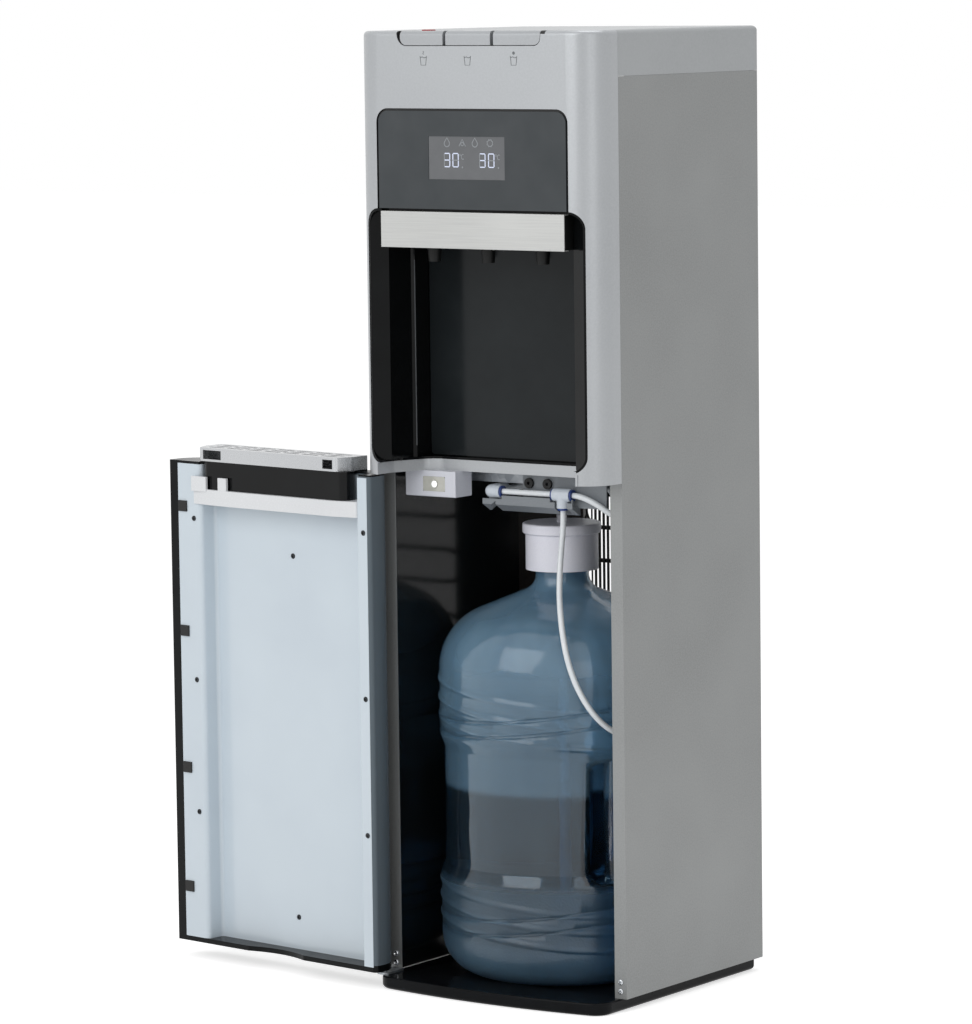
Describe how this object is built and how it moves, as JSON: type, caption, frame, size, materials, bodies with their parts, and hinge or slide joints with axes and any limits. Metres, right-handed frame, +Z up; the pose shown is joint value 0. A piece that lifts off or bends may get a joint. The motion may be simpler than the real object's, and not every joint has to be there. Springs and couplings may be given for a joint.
{
  "type": "bottom load water cooler",
  "caption": "Free-standing water cooler with a dispensing alcove, push buttons and a swinging door over a bottle bay with a probe cap and hose.",
  "frame": {"origin": "on the floor at the base tray's flat underside, in the middle of the cabinet's width", "axes": "+X to the viewer's right, +Y to the back, +Z up; the front faces -Y"},
  "size_m": [0.6009, 0.3287, 1.0365],
  "materials": {
    "silver_shell": "satin",
    "panel_silver": "satin",
    "base_black": "gloss",
    "graphite": "gloss",
    "display_smoke": "gloss",
    "bar_silver": "satin",
    "alcove_dark": "gloss",
    "black_plastic": "matte",
    "button_red": "gloss",
    "button_silver": "satin",
    "circuit_green": "matte",
    "galvanised": "satin",
    "dark_steel": "satin",
    "coil_black": "satin",
    "white_plastic": "satin",
    "bracket_grey": "matte",
    "fitting_white": "satin",
    "collar_blue": "gloss",
    "hose_white": "satin",
    "rubber_black": "matte",
    "lens_clear": "gloss",
    "bottle_blue": "gloss",
    "cap_white": "satin",
    "steel_front": "brushed",
    "door_black": "satin",
    "door_liner_pale": "gloss",
    "tray_black": "gloss",
    "grate_silver": "satin",
    "screw_steel": "polished",
    "foam": "matte",
    "stainless": "satin",
    "compressor_black": "satin",
    "copper": "satin",
    "switch_red": "gloss",
    "switch_green": "gloss"
  },
  "bodies": {
    "cabinet": {"base_tray": "base_black", "side_panel_left": "panel_silver", "side_panel_right": "panel_silver", "cabinet_screws": "screw_steel", "compartment_back": "dark_steel", "condenser_coil": "coil_black", "condenser_wires": "coil_black", "condenser_clips": "galvanised", "deck_plate": "galvanised", "head_shell": "silver_shell", "button_switches": "black_plastic", "display_fascia": "graphite", "display_window": "display_smoke", "display_board": "circuit_green", "spout_bar": "bar_silver", "nozzle_carrier": "black_plastic", "hot_nozzle": "black_plastic", "room_nozzle": "black_plastic", "cold_nozzle": "black_plastic", "alcove_liner": "alcove_dark", "alcove_back_panel": "alcove_dark", "top_cover": "silver_shell", "rear_panel": "galvanised", "compressor": "compressor_black", "compressor_mounts": "rubber_black", "cold_tank": "stainless", "cold_tank_jacket": "foam", "hot_tank": "stainless", "refrigerant_lines": "copper", "pump": "black_plastic", "dispense_valves": "black_plastic", "pump_bracket": "bracket_grey", "pump_grommets": "rubber_black", "elbow_fitting": "fitting_white", "tee_fitting": "fitting_white", "fitting_collars": "collar_blue", "water_tubes": "hose_white", "feed_tube": "hose_white", "lamp_housing": "white_plastic", "lamp_lens": "lens_clear", "bottle": "bottle_blue", "probe_cap": "cap_white", "probe_tube": "fitting_white", "probe_hose": "hose_white", "hinge_brackets": "galvanised"},
    "door": {"door_frame": "door_black", "door_steel_front": "steel_front", "door_liner": "door_liner_pale", "door_screws": "screw_steel", "door_clips": "rubber_black", "tray_shelf": "white_plastic"},
    "drip_tray": {"drip_tray": "tray_black"},
    "drip_grate": {"drip_grate": "grate_silver"},
    "hot_button": {"hot_button": "button_silver"},
    "room_button": {"room_button": "button_silver"},
    "cold_button": {"cold_button": "button_silver"},
    "child_lock": {"child_lock_slider": "button_red"},
    "heat_switch": {"heat_switch": "switch_red"},
    "cool_switch": {"cool_switch": "switch_green"},
    "drain_cap": {"drain_cap": "white_plastic"}
  },
  "joints": [
    {"name": "door_swing", "type": "hinge", "parent": "cabinet", "child": "door", "pos_m": [-0.1458, -0.1266, 0.28], "axis": [0, 0, 1], "range_deg": [0, 187.3]},
    {"name": "drip_tray_lift", "type": "slide", "parent": "door", "child": "drip_tray", "axis": [0, 0, 1], "range_m": [0, 0.04]},
    {"name": "drip_grate_lift", "type": "slide", "parent": "drip_tray", "child": "drip_grate", "axis": [0, 0, 1], "range_m": [0, 0.02]},
    {"name": "hot_button_press", "type": "slide", "parent": "cabinet", "child": "hot_button", "axis": [0, 0, -1], "range_m": [0, 0.0006], "stiffness_N_per_m": 300, "springref_m": -0.004},
    {"name": "room_button_press", "type": "slide", "parent": "cabinet", "child": "room_button", "axis": [0, 0, -1], "range_m": [0, 0.0006], "stiffness_N_per_m": 300, "springref_m": -0.004},
    {"name": "cold_button_press", "type": "slide", "parent": "cabinet", "child": "cold_button", "axis": [0, 0, -1], "range_m": [0, 0.0006], "stiffness_N_per_m": 300, "springref_m": -0.004},
    {"name": "child_lock_slide", "type": "slide", "parent": "hot_button", "child": "child_lock", "axis": [0, 1, 0], "range_m": [0, 0.005]},
    {"name": "heat_switch_rock", "type": "hinge", "parent": "cabinet", "child": "heat_switch", "pos_m": [0.036, 0.164, 0.93], "axis": [1, 0, 0], "range_deg": [0, 24]},
    {"name": "cool_switch_rock", "type": "hinge", "parent": "cabinet", "child": "cool_switch", "pos_m": [0.066, 0.164, 0.93], "axis": [1, 0, 0], "range_deg": [0, 24]},
    {"name": "drain_cap_pull", "type": "slide", "parent": "cabinet", "child": "drain_cap", "axis": [0, 1, 0], "range_m": [0, 0.015]}
  ]
}
